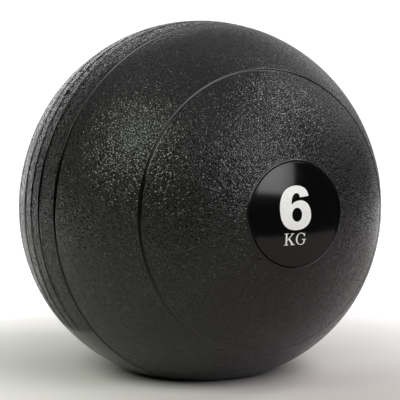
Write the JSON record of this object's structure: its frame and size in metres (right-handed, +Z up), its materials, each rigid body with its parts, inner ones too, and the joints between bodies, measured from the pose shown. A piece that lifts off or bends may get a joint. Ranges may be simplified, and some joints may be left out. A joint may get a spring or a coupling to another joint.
{
  "type": "slam ball",
  "caption": "Thick-walled rubber slam ball, part filled with loose iron sand, with a grooved tread and a domed gloss badge at each pole.",
  "frame": {"origin": "middle of the flat contact patch that the ball rests on", "axes": "+Z up; the moulding axis lies level along Y, with the weight badge facing -Y and the tread in the XZ plane"},
  "size_m": [0.2296, 0.23, 0.2211],
  "materials": {
    "shell_rubber": "moulded pebble grain, semi-gloss black",
    "badge_gloss": "high-gloss black",
    "badge_foam": "thin closed-cell adhesive foam",
    "plug_rubber": "smooth moulded",
    "valve_rubber": "smooth moulded",
    "iron_sand": "fine dry grains"
  },
  "bodies": {
    "ball": {"outer_shell": "shell_rubber", "front_badge": "badge_gloss", "rear_badge": "badge_gloss", "front_badge_adhesive": "badge_foam", "rear_badge_adhesive": "badge_foam", "filler_plug": "plug_rubber", "inflation_valve": "valve_rubber"},
    "ballast": {"iron_sand_ballast": "iron_sand"}
  },
  "joints": [
    {"name": "ballast_roll", "type": "hinge", "parent": "ball", "child": "ballast", "pos_m": [0, 0, 0.10672], "axis": [0, 1, 0], "continuous": true, "deforming": ["iron_sand_ballast"]}
  ]
}
